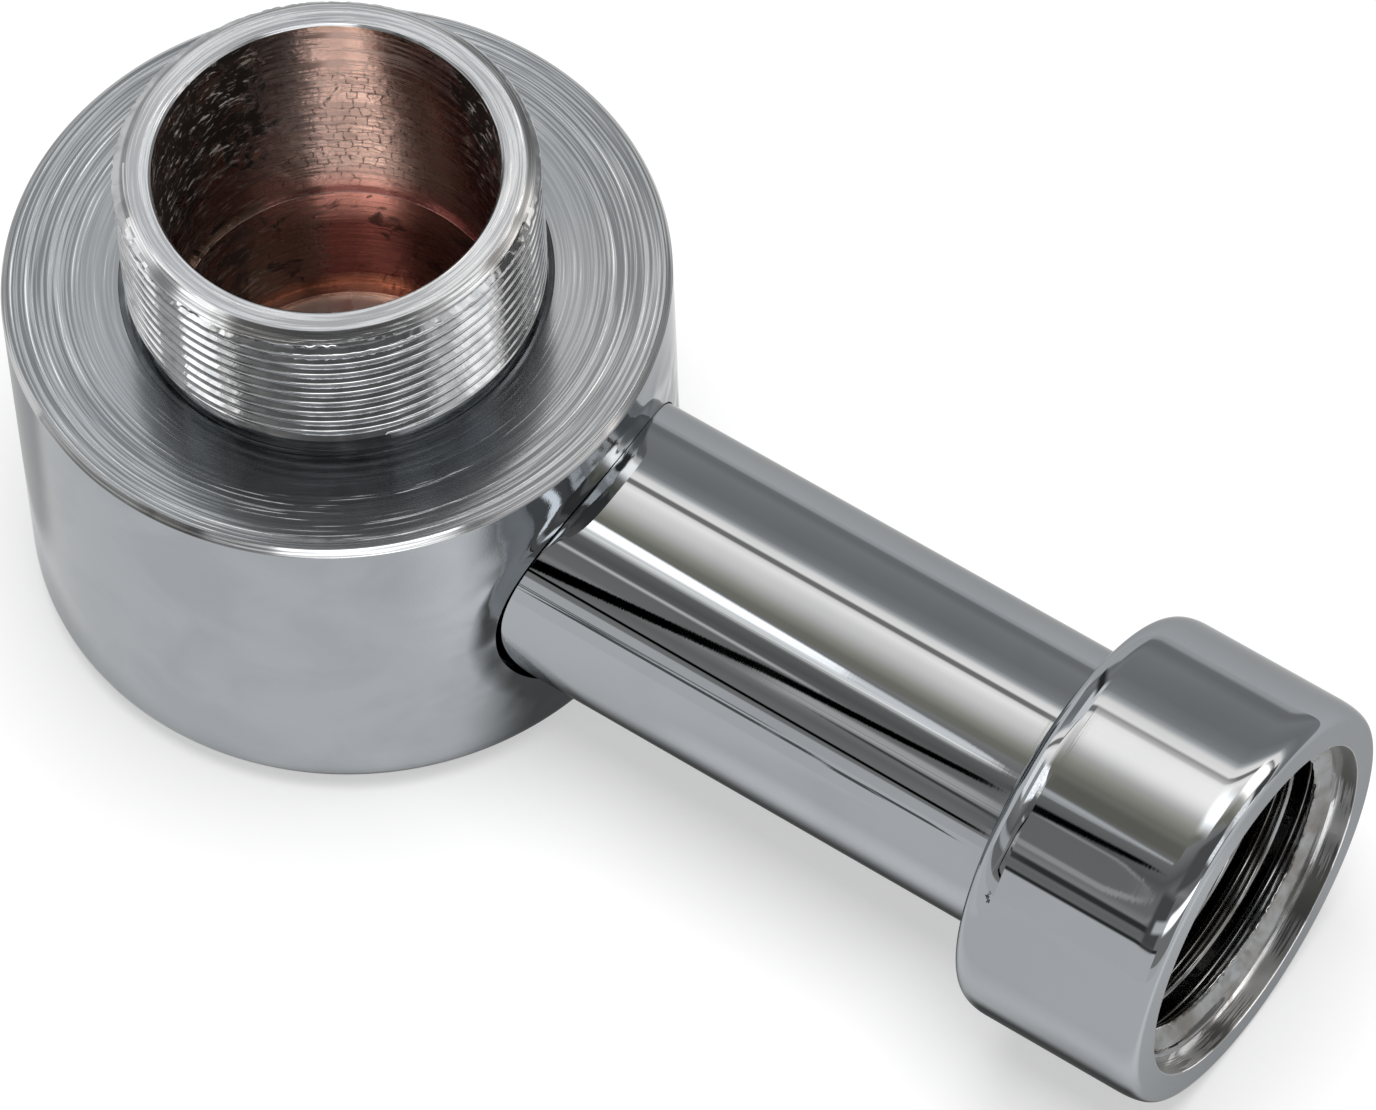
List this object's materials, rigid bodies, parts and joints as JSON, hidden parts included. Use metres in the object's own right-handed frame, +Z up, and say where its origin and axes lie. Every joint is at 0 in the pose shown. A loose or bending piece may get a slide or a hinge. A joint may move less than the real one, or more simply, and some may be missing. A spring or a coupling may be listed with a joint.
{
  "type": "wall outlet elbow",
  "caption": "Chromed wall outlet elbow: a turned drum with a short hollow male-threaded nipple on its face and a side outlet tube that ends in a threaded socket.",
  "frame": {"origin": "centre of the drum's flat base", "axes": "+Z up the drum and nipple axis, out of the nipple; +X along the outlet tube's direction, out of its socket; +Y completes the right-handed frame"},
  "size_m": [0.0875, 0.041, 0.0379],
  "materials": {
    "drum_chrome": "fine-turned chrome plate, bare copper-coloured brass inside the bore",
    "tube_chrome": "mirror chrome plate"
  },
  "bodies": {
    "root": {"drum_body": "drum_chrome", "outlet_tube": "tube_chrome"}
  },
  "joints": []
}
